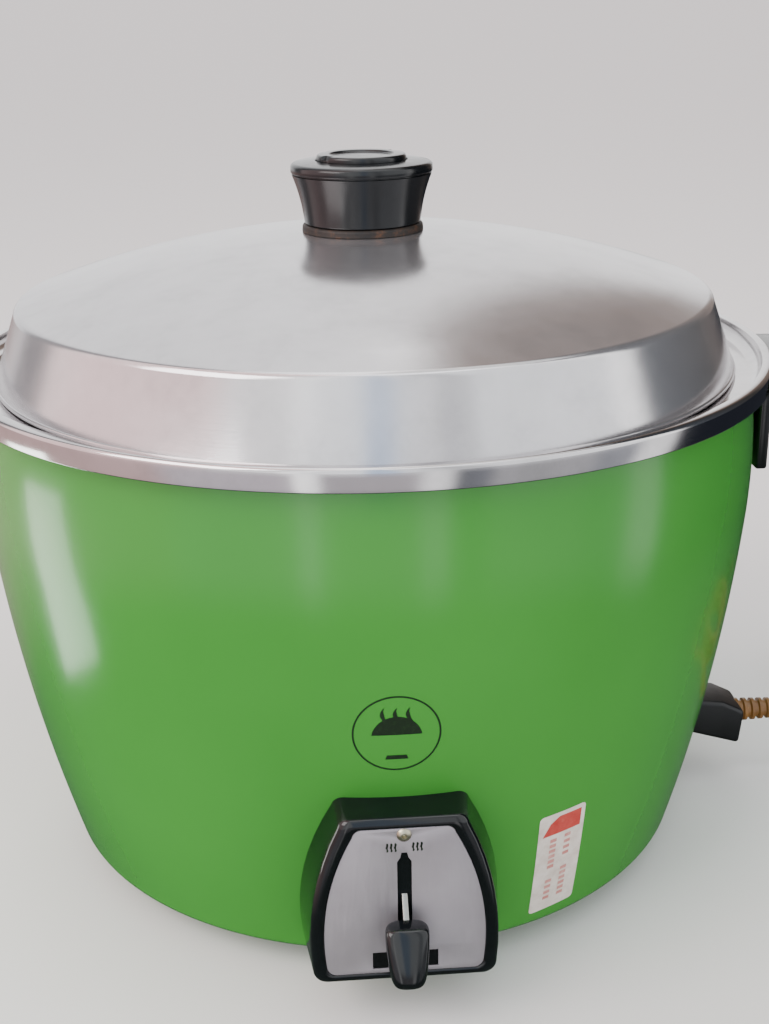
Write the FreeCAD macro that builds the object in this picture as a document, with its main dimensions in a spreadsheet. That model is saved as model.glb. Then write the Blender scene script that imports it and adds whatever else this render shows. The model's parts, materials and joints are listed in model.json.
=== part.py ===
import FreeCAD, Part
import math
import os

import Sketcher
from FreeCAD import Placement, Rotation, Vector

# A drum-shaped electric rice cooker. Millimetres, +Z up, the origin on the table at the drum's
# axis. The control panel faces -Y, the handles are at +X and -X and the mains inlet is at +X.

doc = FreeCAD.newDocument("rice_cooker")
sheet = doc.addObject("Spreadsheet::Sheet", "Sizes")

SIZES = {
    # drum and cooking well
    "rim_radius": 150.0,
    "rim_height": 195.0,
    "rim_flat": 4.0,
    "band_height": 7.5,
    "ledge_height": 189.2,
    "sheet_wall": 1.2,
    "drum_top_radius": 142.8,
    "drum_waist_radius": 144.4,
    "drum_waist_height": 138.0,
    "drum_foot_radius": 123.2,
    "drum_foot_height": 14.0,
    "drum_base_height": 9.5,
    "well_lap_radius": 138.0,
    "ring_inner_radius": 131.0,
    "well_radius": 126.5,
    "well_floor_radius": 123.0,
    "well_floor_height": 52.0,
    # lid and knob
    "lid_radius": 137.0,
    "lid_shoulder_radius": 128.2,
    "lid_shoulder_height": 213.8,
    "lid_dome_radius": 377.0,
    "lid_crown_height": 238.2,
    "collar_radius": 22.3,
    "knob_radius": 25.9,
    "knob_foot_radius": 21.4,
    "knob_height": 263.0,
    "cap_radius": 16.8,
    # inner pot and heating
    "pot_radius": 115.2,
    "pot_height": 176.5,
    "pot_wall": 1.0,
    "pot_lip": 5.0,
    "plate_radius": 74.0,
    "plate_thickness": 8.0,
    "element_radius": 56.0,
    "element_wire": 3.6,
    # control panel
    "panel_front": 149.0,
    "panel_back": 112.0,
    "panel_top": 79.8,
    "panel_bottom": 19.7,
    "panel_top_half": 19.8,
    "panel_bottom_half": 29.6,
    "panel_wall": 3.0,
    "panel_draft": 4.2,
    "fascia_bottom": 22.8,
    "fascia_top": 76.6,
    "fascia_bottom_half": 25.3,
    "fascia_top_half": 16.3,
    "lever_thickness": 1.8,
    "slot_width": 4.6,
    "pivot_reach": 131.0,
    "pivot_height": 58.0,
    "pin_radius": 2.0,
    "plunger_height": 43.0,
    # handles
    "shelf_top": 187.0,
    "shelf_thickness": 4.5,
    "shelf_reach": 174.0,
    "handle_half": 26.0,
    "plate_inside": 146.4,
    "plate_outside": 151.0,
    "handle_screw_height": 174.0,
    "handle_screw_spread": 16.0,
    # inlet and connector
    "inlet_height": 25.6,
    "inlet_face": 131.5,
    "nose_half": 8.7,
    "nose_height": 11.4,
    "prong_radius": 2.0,
    "prong_spread": 5.5,
    "cord_radius": 3.2,
    "coil_x": 250.0,
    "coil_y": 62.0,
}


class Size:
    """A length taken from the sheet: its number, and the expression that keeps it bound."""

    def __init__(self, number, text):
        self.number = number
        self.text = text

    def joined(self, sign, other, number):
        return Size(number, f"({self.text} {sign} {text_of(other)})")

    def __add__(self, other):
        return self.joined("+", other, self.number + number_of(other))

    def __sub__(self, other):
        return self.joined("-", other, self.number - number_of(other))

    def __mul__(self, other):
        return self.joined("*", other, self.number * number_of(other))

    def __neg__(self):
        return Size(-self.number, f"(-1 * {self.text})")


def number_of(size):
    return size.number if isinstance(size, Size) else float(size)


def text_of(size):
    return size.text if isinstance(size, Size) else repr(float(size))


def fill_sheet():
    for row, (alias, value) in enumerate(SIZES.items(), start=1):
        sheet.set(f"A{row}", alias)
        sheet.set(f"B{row}", str(value))
        sheet.setAlias(f"B{row}", alias)
    doc.recompute()


fill_sheet()
S = {alias: Size(value, f"Sizes.{alias}") for alias, value in SIZES.items()}


def bind(obj, prop, size):
    """Give a property its number and, where it comes from the sheet, its expression."""
    if isinstance(size, Size):
        obj.setExpression(prop, size.text)
    else:
        setattr(obj, prop, size)


# ---------------------------------------------------------------- helpers for shapes

def arc_between(start, end, radius):
    """Arc from start to end; a positive radius bulges to the right of the way travelled."""
    chord = end - start
    middle = (start + end) * 0.5
    side = Vector(chord.y, -chord.x, 0).normalize()
    half = chord.Length / 2
    rise = abs(radius) - math.sqrt(radius * radius - half * half)
    return Part.Arc(start, middle + side * math.copysign(rise, radius), end)


def hold_point(sketch, edge, end, corner):
    """Tie one end of an edge to its two coordinates."""
    for axis, size, line in (("DistanceX", corner[0], -2), ("DistanceY", corner[1], -1)):
        number = number_of(size)
        if abs(number) < 1e-9:
            sketch.addConstraint(Sketcher.Constraint("PointOnObject", edge, end, line))
            continue
        away = size if number > 0 else (-size if isinstance(size, Size) else -number)
        ends = (-1, 1, edge, end) if number > 0 else (edge, end, -1, 1)
        index = sketch.addConstraint(Sketcher.Constraint(axis, *ends, abs(number)))
        if isinstance(away, Size):
            sketch.setExpression(f"Constraints[{index}]", away.text)


def draw_outline(sketch, corners):
    """Closed outline; a corner with a third value is reached by an arc of that radius."""
    points = [Vector(number_of(c[0]), number_of(c[1]), 0) for c in corners]
    ends = []
    for index, corner in enumerate(corners):
        start, end = points[index - 1], points[index]
        if len(corner) > 2:
            edge = sketch.addGeometry(arc_between(start, end, corner[2]), False)
            sketch.addConstraint(Sketcher.Constraint("Radius", edge, abs(corner[2])))
        else:
            edge = sketch.addGeometry(Part.LineSegment(start, end), False)
        swapped = (sketch.getPoint(edge, 1) - start).Length > (sketch.getPoint(edge, 2) - start).Length
        ends.append((edge, 2, 1) if swapped else (edge, 1, 2))
    for index, corner in enumerate(corners):
        edge, _, last = ends[index]
        following, first, _ = ends[(index + 1) % len(ends)]
        sketch.addConstraint(Sketcher.Constraint("Coincident", edge, last, following, first))
        hold_point(sketch, edge, last, corner)


def new_body(name, plane, corners, offset=0.0):
    body = doc.addObject("PartDesign::Body", name)
    sketch = new_sketch(body, name + "_outline", plane, corners, offset)
    return body, sketch


def new_sketch(body, name, plane, corners, offset=0.0):
    sketch = body.newObject("Sketcher::SketchObject", name)
    role = {"XY": "XY_Plane", "XZ": "XZ_Plane", "YZ": "YZ_Plane"}[plane]
    sketch.AttachmentSupport = [f for f in body.Origin.OriginFeatures if f.Role == role][0]
    sketch.MapMode = "FlatFace"
    if isinstance(offset, Size):
        sketch.setExpression("AttachmentOffset.Base.z", offset.text)
    elif offset:
        sketch.AttachmentOffset = Placement(Vector(0, 0, offset), Rotation())
    draw_outline(sketch, corners)
    doc.recompute()
    return sketch


def turned(name, corners):
    """A body of revolution about Z from its outline of (radius, height) corners."""
    body, sketch = new_body(name, "XZ", corners)
    spin = body.newObject("PartDesign::Revolution", name + "_turn")
    spin.Profile = sketch
    spin.ReferenceAxis = (sketch, ["V_Axis"])
    spin.Angle = 360
    doc.recompute()
    return body


def padded(name, plane, corners, offset, length, midplane=False):
    """An outline drawn on a plane at an offset, thickened along the plane's normal."""
    body, sketch = new_body(name, plane, corners, offset)
    pad = body.newObject("PartDesign::Pad", name + "_pad")
    pad.Profile = sketch
    bind(pad, "Length", length)
    if midplane:
        pad.SideType = "Symmetric"
    doc.recompute()
    return body


def lofted(name, plane, sections, ruled=True):
    """A body lofted through (offset, corners) sections."""
    body, first = new_body(name, plane, sections[0][1], sections[0][0])
    loft = body.newObject("PartDesign::AdditiveLoft", name + "_loft")
    loft.Profile = first
    loft.Sections = [new_sketch(body, f"{name}_section_{index}", plane, corners, offset)
                     for index, (offset, corners) in enumerate(sections[1:], start=1)]
    loft.Ruled = ruled
    doc.recompute()
    return body


def place(obj, x, y, z, rotation=None):
    """Put a primitive at a point; sizes from the sheet stay bound."""
    obj.Placement = Placement(Vector(number_of(x), number_of(y), number_of(z)), rotation or Rotation())
    for prop, size in (("x", x), ("y", y), ("z", z)):
        if isinstance(size, Size):
            obj.setExpression(f"Placement.Base.{prop}", size.text)
    return obj


TURN_TO = {"X": Rotation(Vector(0, 1, 0), 90), "Y": Rotation(Vector(1, 0, 0), -90), "Z": Rotation(),
           "-Y": Rotation(Vector(1, 0, 0), 90), "-X": Rotation(Vector(0, 1, 0), -90)}


def rod(name, radius, length, x, y, z, along="Z"):
    """A cylinder that starts at a point and runs along an axis."""
    piece = doc.addObject("Part::Cylinder", name)
    bind(piece, "Radius", radius)
    bind(piece, "Height", length)
    return place(piece, x, y, z, TURN_TO[along])


def taper(name, radius_1, radius_2, length, x, y, z, along="Z"):
    """A cone frustum that starts at a point and runs along an axis."""
    piece = doc.addObject("Part::Cone", name)
    bind(piece, "Radius1", radius_1)
    bind(piece, "Radius2", radius_2)
    bind(piece, "Height", length)
    return place(piece, x, y, z, TURN_TO[along])


def block(name, x_range, y_range, z_range):
    """A box between two places along each axis."""
    piece = doc.addObject("Part::Box", name)
    for prop, (low, high) in (("Length", x_range), ("Width", y_range), ("Height", z_range)):
        span = high - low if isinstance(high, Size) else Size(high, text_of(high)) - low
        bind(piece, prop, span if isinstance(low, Size) or isinstance(high, Size) else high - low)
    return place(piece, x_range[0], y_range[0], z_range[0])


def cut(name, base, *tools):
    for index, tool in enumerate(tools):
        piece = doc.addObject("Part::Cut", name if index == len(tools) - 1 else f"{name}_cut_{index}")
        piece.Base = base
        piece.Tool = tool
        base = piece
    return base


def joined(name, *pieces):
    piece = doc.addObject("Part::MultiFuse", name)
    piece.Shapes = list(pieces)
    return piece


def grouped(name, pieces):
    """Separate solids that share one node, such as a set of screws."""
    piece = doc.addObject("Part::Compound", name)
    piece.Links = list(pieces)
    return piece


def swung(piece, degrees):
    """Turn a placed piece about the drum's axis."""
    turn = Rotation(Vector(0, 0, 1), degrees)
    piece.Placement = Placement(turn.multVec(piece.Placement.Base), turn.multiply(piece.Placement.Rotation))
    return piece


def mirrored(name, source, normal):
    piece = doc.addObject("Part::Mirroring", name)
    piece.Source = source
    piece.Normal = normal
    return piece


def around(count, radius, first_degrees=0.0):
    """Points spaced evenly on a circle."""
    for index in range(count):
        angle = math.radians(first_degrees + 360.0 * index / count)
        yield radius * math.cos(angle), radius * math.sin(angle)


def both_sides(corners):
    """A left-right symmetric outline from its right half, listed from bottom to top."""
    left = []
    for index in range(len(corners) - 1, -1, -1):
        arc = corners[index + 1][2:] if index + 1 < len(corners) else ()
        left.append((-corners[index][0], corners[index][1], *arc))
    return [corners[0][:2], *corners[1:], *left]


NODES = []


def keep(piece, label=None):
    """List a piece as a sub-part of its own."""
    if label:
        piece.Label = label
    NODES.append(piece)
    return piece


# ---------------------------------------------------------------- drum, well and base

DRUM_UPPER_ARC = 218.0
DRUM_LOWER_ARC = 720.0
FOOT_ARC_RADIUS = 118.5
WALL = SIZES["sheet_wall"]


def drum_side(inset):
    """The drum's outer corners from top to foot, moved in by a wall."""
    return [
        (S["drum_top_radius"] - inset, S["ledge_height"] - WALL),
        (S["drum_waist_radius"] - inset, S["drum_waist_height"], -(DRUM_UPPER_ARC - inset)),
        (S["drum_foot_radius"] - inset, S["drum_foot_height"], -(DRUM_LOWER_ARC - inset)),
    ]


def drum_form():
    """The drum's outside as one solid, used to trim what is fixed to its wall."""
    base = S["drum_base_height"]
    return turned("drum_form", drum_side(0.0) + [(FOOT_ARC_RADIUS, base), (0.0, base),
                                                 (0.0, S["ledge_height"] - WALL)])


def outer_shell(openings):
    base = S["drum_base_height"]
    top, waist, foot = drum_side(WALL)
    corners = drum_side(0.0) + [(FOOT_ARC_RADIUS, base, -5.5), (108.0, base), (108.0, base + WALL),
                                (FOOT_ARC_RADIUS - 0.3, base + WALL), (foot[0], foot[1], 4.4),
                                (waist[0], waist[1], DRUM_LOWER_ARC - WALL),
                                (top[0], top[1], DRUM_UPPER_ARC - WALL)]
    keep(cut("outer_shell", turned("shell_sheet", corners), *openings))


def rim_ring():
    """The thick bright rim: outer band, flat top, inner wall and the ledge the lid stands on."""
    rim, top, ledge = S["rim_radius"], S["rim_height"], S["ledge_height"]
    bottom, inner = top - S["band_height"], S["ring_inner_radius"]
    lip = rim - S["rim_flat"]
    keep(turned("rim_ring", [
        (rim, bottom), (rim - 0.2, top - WALL), (rim - 1.4, top, 1.2), (lip, top), (lip, ledge + 4.2),
        (lip - 4.0, ledge, -4.2), (inner, ledge), (inner, ledge - WALL), (rim - WALL, ledge - WALL),
        (rim - WALL, bottom),
    ]))


def cooking_well():
    """Spun aluminium cup whose flange laps under the rim's ledge."""
    top, floor = S["ledge_height"] - WALL, S["well_floor_height"]
    side, foot = S["well_radius"], S["well_floor_radius"]
    keep(turned("cooking_well", [
        (S["well_lap_radius"], top), (side + 3.0, top), (side, top - 3.0, 3.1),
        (foot, floor + 8.0), (foot - 8.0, floor, -8.1), (0.0, floor), (0.0, floor - WALL),
        (foot - 8.0, floor - WALL), (foot + WALL, floor + 8.0, 9.3), (side + WALL, top - 3.2),
        (side + 3.2, top - WALL, -2.1), (S["well_lap_radius"], top - WALL),
    ]))


def base_plate(screw_places, foot_places):
    holes = [rod(f"base_hole_{i}", 1.7, 8.0, x, y, 7.0) for i, (x, y) in enumerate(screw_places)]
    holes += [rod(f"foot_hole_{i}", 1.7, 8.0, x, y, 7.0) for i, (x, y) in enumerate(foot_places)]
    vents = [rod(f"vent_{i}", 3.0, 8.0, x, y, 7.0) for i, (x, y) in enumerate(around(12, 60.0))]
    plate = rod("base_disc", 116.0, WALL, 0, 0, S["drum_base_height"] + WALL)
    keep(cut("base_plate", plate, joined("base_openings", *holes, *vents)))


def base_screws(places):
    screws = []
    for index, (x, y) in enumerate(places):
        head = rod(f"base_head_{index}", 3.2, 1.9, x, y, S["drum_base_height"] - 1.9)
        shank = rod(f"base_shank_{index}", 1.6, 8.0, x, y, S["drum_base_height"] - 1.0)
        screws.append(joined(f"base_screw_{index}", head, shank))
    keep(grouped("base_screws", screws))


def feet(places):
    pads, screws = [], []
    for index, (x, y) in enumerate(places):
        pad = taper(f"foot_form_{index}", 7.5, 9.0, S["drum_base_height"] + WALL, x, y, 0)
        recess = rod(f"foot_recess_{index}", 4.2, 5.0, x, y, 0)
        hole = rod(f"foot_bore_{index}", 1.7, 12.0, x, y, 4.0)
        pads.append(cut(f"foot_{index}", pad, recess, hole))
        head = rod(f"foot_head_{index}", 3.2, 2.0, x, y, 3.0)
        shank = rod(f"foot_shank_{index}", 1.6, 11.0, x, y, 4.5)
        screws.append(joined(f"foot_screw_{index}", head, shank))
    keep(grouped("feet", pads))
    keep(grouped("foot_screws", screws))


# ---------------------------------------------------------------- lid, knob and inner pot

def lid():
    outer, shoulder, high = S["lid_radius"], S["lid_shoulder_radius"], S["lid_shoulder_height"]
    bottom = S["ledge_height"] + 0.3
    crown = S["lid_crown_height"]
    dome = SIZES["lid_dome_radius"]
    keep(turned("lid_shell", [
        (outer, bottom),
        (outer, bottom + 2.0),
        (shoulder, high),
        (shoulder - 2.7, high + 2.9, 3.4),
        (3.0, crown, dome),
        (3.0, crown - WALL),
        (shoulder - 3.2, high + 1.7, -(dome - WALL)),
        (shoulder - 1.3, high - 0.4, -2.2),
        (outer - 1.8, bottom + 2.4),
        (outer - 2.2, bottom),
    ]))
    collar, seat = S["collar_radius"], crown + 2.2
    keep(turned("knob_collar", [(collar, crown - 0.61, -dome), (collar, crown + 1.0), (collar - 0.8, seat),
                                (3.0, seat), (3.0, crown + 0.04)]))
    lid_knob(seat)
    head = rod("lid_screw_head", 6.0, 2.6, 0, 0, crown - 4.0)
    shank = rod("lid_screw_shank", 2.5, 17.0, 0, 0, crown - 2.5)
    keep(joined("knob_screw", head, shank))


def lid_knob(seat):
    """Moulded knob with a waist, a rounded band and a notched cap pressed into its top."""
    foot, wide, top = S["knob_foot_radius"], S["knob_radius"], S["knob_height"]
    cap, bore_top = S["cap_radius"], 253.0
    keep(turned("lid_knob", [(foot, seat), (wide - 0.2, top - 4.6, -60.0), (wide, top - 1.8),
                             (wide - 1.5, top - 0.8, 2.2), (cap, top), (cap, top - 2.0), (0.0, top - 2.0),
                             (0.0, bore_top), (2.5, bore_top), (2.5, seat)]))
    disc = cap - 0.4
    form = turned("cap_form", [(disc, top - 2.0), (disc, top + 1.0), (disc - 1.0, top + 2.0),
                               (11.0, top + 2.0), (11.0, top + 1.2), (0.0, top + 1.2), (0.0, top - 2.0)])
    notches = [swung(block(f"cap_notch_{i}", (14.6, 18.0), (-2.2, 2.2), (top + 0.6, top + 4.0)), degrees)
               for i, degrees in enumerate((33.0, 213.0))]
    keep(cut("knob_cap", form, *notches))


def inner_pot():
    radius, high, wall, lip = S["pot_radius"], S["pot_height"], S["pot_wall"], S["pot_lip"]
    floor = S["well_floor_height"] + 0.3
    keep(turned("inner_pot", [
        (0.0, floor), (radius - 11.0, floor), (radius - 1.2, floor + 10.0, 10.0),
        (radius, high - 1.2), (radius + lip, high - 1.2), (radius + lip, high),
        (radius - wall, high), (radius - 1.2 - wall, floor + 10.0),
        (radius - 11.0, floor + wall, -9.0), (0.0, floor + wall),
    ]))


# ---------------------------------------------------------------- heating under the well

def heating():
    under = S["well_floor_height"] - WALL - S["plate_thickness"]
    disc = rod("plate_disc", S["plate_radius"], S["plate_thickness"], 0, 0, under)
    groove = doc.addObject("Part::Torus", "element_groove")
    ring = doc.addObject("Part::Torus", "element_ring")
    for torus in (groove, ring):
        bind(torus, "Radius1", S["element_radius"])
        bind(torus, "Radius2", S["element_wire"])
        place(torus, 0, 0, under)
    keep(cut("heater_plate", disc, groove))
    tails = [rod(f"element_tail_{i}", 2.2, 14.0, x, 0, 28.0) for i, x in enumerate((-56.0, 56.0))]
    keep(joined("heating_element", ring, *tails))

    bar = block("clamp_bar", (-7.0, 7.0), (-92.0, 92.0), (37.2, 39.2))
    keep(cut("heater_clamp", bar, rod("clamp_middle", 6.0, 6.0, 0, 0, 35.0),
             *[rod(f"clamp_hole_{i}", 2.6, 6.0, 0, y, 35.0) for i, y in enumerate((-86.0, 86.0))]))
    studs = [rod(f"stud_{i}", 2.5, 19.8, 0, y, 31.0) for i, y in enumerate((-86.0, 86.0))]
    keep(grouped("clamp_studs", studs))
    nuts = []
    for index, y in enumerate((-86.0, 86.0)):
        nut = doc.addObject("Part::Prism", f"nut_form_{index}")
        nut.Polygon, nut.Circumradius, nut.Height = 6, 5.2, 4.0
        place(nut, 0, y, 33.2)
        nuts.append(cut(f"nut_{index}", nut, rod(f"nut_bore_{index}", 2.6, 6.0, 0, y, 32.0)))
    keep(grouped("clamp_nuts", nuts))

    can = rod("thermostat_can", 13.0, 8.0, 34.0, 0, 34.8)
    stem = rod("thermostat_stem", 4.0, 4.0, 34.0, 0, 30.8)
    keep(joined("thermostat", can, stem))
    keep(rod("thermal_fuse", 2.4, 16.0, -34.0, -20.0, 40.4, "Y"))
    band = rod("band_outside", 127.3, 20.0, 0, 0, 66.0)
    keep(cut("keep_warm_band", band, rod("band_inside", 125.8, 24.0, 0, 0, 64.0)))


# ---------------------------------------------------------------- control panel

def panel_outline(grow, arc=100.0):
    """The panel's face, grown outwards by an amount; its sides bulge."""
    low, high = S["panel_bottom"] - grow, S["panel_top"] + grow
    wide, narrow = S["panel_bottom_half"] + grow, S["panel_top_half"] + grow
    return both_sides([(wide - 4.0, low), (wide, low + 4.0, 4.2), (narrow + 0.6, high - 3.0, arc + grow),
                       (narrow - 3.0, high, 3.8)])


def fascia_outline(grow=0.0):
    """The bright plate inside the panel's rim."""
    low, high = S["fascia_bottom"] - grow, S["fascia_top"] + grow
    wide, narrow = S["fascia_bottom_half"] + grow, S["fascia_top_half"] + grow
    return both_sides([(wide - 3.0, low), (wide, low + 3.0, 3.2), (narrow, high - 2.6, 80.0 + grow),
                       (narrow - 3.0, high, 3.2)])


SCREW_HEIGHT = 74.2


def control_panel(form):
    front, back, wall = S["panel_front"], S["panel_back"], SIZES["panel_wall"]
    draft, seat = SIZES["panel_draft"], S["panel_front"] - 1.4
    solid = lofted("panel_form", "XZ", [(front, panel_outline(0.0)), (back, panel_outline(draft))])
    hollow = lofted("panel_hollow_form", "XZ", [(front - wall - 0.6, panel_outline(-wall)),
                                                (back - 1.0, panel_outline(draft - wall))])
    recess = padded("panel_recess", "XZ", fascia_outline(0.15), seat, 3.0)
    slot = block("panel_slot", (-3.2, 3.2), (-152.0, -144.0), (31.0, 70.0))
    window = block("panel_window", (-9.4, 9.4), (-152.0, -144.0), (25.3, 29.6))
    screw = rod("panel_screw_hole", 1.4, 8.0, 0, -152.0, SCREW_HEIGHT, "Y")
    keep(cut("control_housing", solid, form, hollow, recess, slot, window, screw))

    sheet_form = padded("fascia_sheet", "XZ", fascia_outline(), seat, 1.0)
    half = S["slot_width"] * 0.5
    slot_cut = padded("fascia_slot", "XZ", both_sides([(half, 33.0), (half, 64.4), (1.3, 66.0), (0.9, 67.8)]),
                      146.0, 4.0)
    window_cut = block("fascia_window", (-10.6, 10.6), (-150.0, -146.0), (24.3, 30.6))
    hole = rod("fascia_screw_hole", 1.4, 8.0, 0, -152.0, SCREW_HEIGHT, "Y")
    keep(cut("fascia_plate", sheet_form, slot_cut, window_cut, hole))
    keep(block("lamp_window", (-10.4, 10.4), (-148.4, -147.6), (24.5, 30.4)))
    head = doc.addObject("Part::Sphere", "fascia_screw_ball")
    head.Radius = 2.7
    place(head, 0, -147.4, SCREW_HEIGHT)
    dome = cut("fascia_screw_dome", head, block("fascia_screw_flat", (-5, 5), (-148.6, -140), (68, 80)))
    keep(joined("fascia_screw", dome, rod("fascia_screw_shank", 1.35, 6.6, 0, -149.0, SCREW_HEIGHT, "Y")))
    keep(rod("pilot_lamp", 2.4, 15.0, -7.5, -141.4, 27.8, "X"))


def lever():
    reach, high, thick = S["pivot_reach"], S["pivot_height"], S["lever_thickness"]
    profile = [(-134.5, 61.5), (-142.0, 57.5), (-148.5, 51.0), (-158.0, 40.0), (-155.2, 36.4), (-146.4, 46.6),
               (-140.6, 51.6), (-134.6, 53.2), (-133.2, 42.0), (-128.6, 42.0), (-127.4, 58.0),
               (-129.0, 62.0)]
    strip = padded("lever_strip", "YZ", profile, 0.0, thick, midplane=True)
    eye = rod("lever_eye", SIZES["pin_radius"] + 0.06, 8.0, -4.0, -reach, high, "X")
    keep(cut("lever_arm", strip, eye))
    keep(rod("pivot_pin", S["pin_radius"], 16.0, -8.0, -reach, high, "X"))

    def slab(half, front, back):
        return [(half, back), (half, front), (-half, front), (-half, back)]

    form = lofted("lever_knob_form", "XY", [
        (26.4, slab(4.3, -162.8, -155.0)),
        (30.5, slab(6.2, -165.2, -152.8)),
        (38.0, slab(7.2, -162.6, -151.4)),
        (44.5, slab(7.4, -160.2, -151.25)),
        (46.3, slab(6.6, -158.0, -151.3)),
    ])
    socket = padded("lever_socket", "YZ", profile, 0.0, thick, midplane=True)
    keep(cut("lever_knob", form, socket))


def contact_blades(name):
    return [block(f"{name}_{i}", (x - 2.4, x + 2.4), (-107.5, -94.0), (32.0, 32.8))
            for i, x in enumerate((-8.0, 0.0, 8.0))]


def switch():
    reach, high, press = S["pivot_reach"], S["pivot_height"], S["plunger_height"]
    plate = block("bracket_plate", (-22.0, 22.0), (-127.2, -125.8), (26.0, 63.0))
    window = block("bracket_window", (-6.6, 6.6), (-130.0, -124.0), (36.0, 52.0))
    ears = [block(f"bracket_ear_{i}", (x, x + 1.5), (-134.4, -126.0), (52.8, 62.8))
            for i, x in enumerate((-6.5, 5.0))]
    bore = rod("bracket_bore", S["pin_radius"], 20.0, -10.0, -reach, high, "X")
    keep(cut("switch_bracket", joined("bracket_form", plate, *ears), window, bore))

    case = block("switch_case", (-15.0, 15.0), (-125.8, -104.0), (28.0, 48.0))
    guide = rod("switch_guide", 3.07, 6.0, 0, -127.0, press, "Y")
    room = rod("switch_room", 4.6, 14.0, 0, -123.0, press, "Y")
    keep(cut("switch_base", case, guide, room, *contact_blades("contact_slot")))
    stem = rod("plunger_stem", 3.0, 11.4, 0, -128.3, press, "Y")
    flange = rod("plunger_flange", 4.3, 1.5, 0, -118.4, press, "Y")
    keep(joined("switch_plunger", stem, flange))

    coil = doc.addObject("Part::Helix", "spring_line")
    coil.Pitch, coil.Height, coil.Radius = 1.5, 7.0, 3.4
    place(coil, 0, -116.5, press, TURN_TO["Y"])
    wire = doc.addObject("Part::Circle", "spring_section")
    wire.Radius = 0.3
    place(wire, 3.4, -116.5, press)
    spring = doc.addObject("Part::Sweep", "plunger_spring")
    spring.Sections = [wire]
    spring.Spine = (coil, ["Edge1"])
    spring.Solid, spring.Frenet = True, True
    keep(spring)
    keep(grouped("switch_contacts", contact_blades("contact")))


# ---------------------------------------------------------------- handles

def handle_screw_places():
    return [-S["handle_screw_spread"], S["handle_screw_spread"]]


def handle_form(form):
    """The right-hand handle: upright plate held off the drum, shelf and turned-down lip."""
    top, thick, reach, half = S["shelf_top"], S["shelf_thickness"], S["shelf_reach"], S["handle_half"]
    inside, under = S["plate_inside"], S["shelf_top"] - S["shelf_thickness"]
    plate = block("handle_plate", (inside, S["plate_outside"]), (-half, half), (146.4, top))
    shelf = padded("handle_shelf", "XY", [
        (inside, -half), (reach - 12.0, -half), (reach, -(half - 12.0), 12.2), (reach, half - 12.0),
        (reach - 12.0, half, 12.2), (inside, half)], under, thick)
    lip = padded("handle_lip", "YZ", [
        (-20.0, 174.0), (-15.0, 169.0, 5.2), (15.0, 169.0), (20.0, 174.0, 5.2), (20.0, under + 1.0),
        (-20.0, under + 1.0)], reach - 4.5, 4.5)
    bosses = [rod(f"handle_boss_{i}", 5.0, 10.0, 138.0, y, S["handle_screw_height"], "X")
              for i, y in enumerate(handle_screw_places())]
    return cut("handle_moulding", joined("handle_block", plate, shelf, lip, *bosses), form)


def handles(form):
    right = keep(cut("handle_right", handle_form(form), *screw_bores("handle_hole", (1,))))
    keep(mirrored("handle_left", right, Vector(1, 0, 0)))
    high, face, screws = S["handle_screw_height"], SIZES["plate_outside"], []
    for side, along in ((1, "X"), (-1, "-X")):
        for index, y in enumerate(handle_screw_places()):
            name = f"{along[-2:].replace('-', 'minus_')}_{index}"
            shank = rod(f"handle_shank_{name}", 1.9, face - 138.4, side * 138.4, y, high, along)
            head = rod(f"handle_head_{name}", 3.6, 2.0, side * face, y, high, along)
            screws.append(joined(f"handle_screw_{name}", shank, head))
    keep(grouped("handle_screws", screws))


def screw_bores(name, sides):
    """Bores for the handles' screws on the given sides of the drum."""
    return [rod(f"{name}_{'right' if side > 0 else 'left'}_{index}", 1.9, 20.0, side * 134.0, y,
                S["handle_screw_height"], "X" if side > 0 else "-X")
            for side in sides for index, y in enumerate(handle_screw_places())]


# ---------------------------------------------------------------- inlet, connector and cord

INLET_HALF = 13.0
INLET_BOTTOM = 18.6
INLET_TOP = 33.6


def inlet():
    face, high, spread = S["inlet_face"], S["inlet_height"], SIZES["prong_spread"]
    boss = block("inlet_boss", (112.0, face), (-INLET_HALF, INLET_HALF), (INLET_BOTTOM, INLET_TOP))
    flange = block("inlet_flange", (112.0, 115.0), (-23.0, 23.0), (13.6, 37.6))
    socket = block("inlet_socket", (116.0, face + 1.0), (-9.0, 9.0), (19.6, 31.6))
    bores = [rod(f"inlet_bore_{i}", S["prong_radius"], 8.0, 110.0, y, high, "X")
             for i, y in enumerate((-spread, spread))]
    keep(cut("inlet_block", joined("inlet_form", boss, flange), socket, *bores))
    keep(grouped("inlet_prongs", [rod(f"prong_{i}", S["prong_radius"], 23.0, 106.0, y, high, "X")
                                  for i, y in enumerate((-spread, spread))]))


def connector():
    high, spread = S["inlet_height"], SIZES["prong_spread"]
    half, tall = S["nose_half"], SIZES["nose_height"]
    nose = block("connector_nose", (116.4, 134.0), (-half, half), (high - tall / 2, high + tall / 2))
    grip = padded("connector_grip", "XZ", [
        (132.0, 24.6), (154.6, 17.8), (156.2, 33.0), (147.0, 37.6), (132.0, 39.6)], -10.0, 20.0)
    bores = [rod(f"contact_room_{i}", 3.0, 18.0, 114.0, y, high, "X")
             for i, y in enumerate((-spread, spread))]
    keep(cut("connector_body", joined("connector_form", nose, grip), *bores))
    sleeves = []
    for index, y in enumerate((-spread, spread)):
        sleeve = rod(f"sleeve_form_{index}", 3.0, 15.0, 117.0, y, high, "X")
        bore = rod(f"sleeve_bore_{index}", SIZES["prong_radius"] + 0.06, 17.0, 116.0, y, high, "X")
        sleeves.append(cut(f"sleeve_{index}", sleeve, bore))
    keep(grouped("connector_contacts", sleeves))
    keep(taper("cord_relief", 5.0, S["cord_radius"] + 0.4, 32.0, 153.0, 0, 29.0, "X"))


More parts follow.
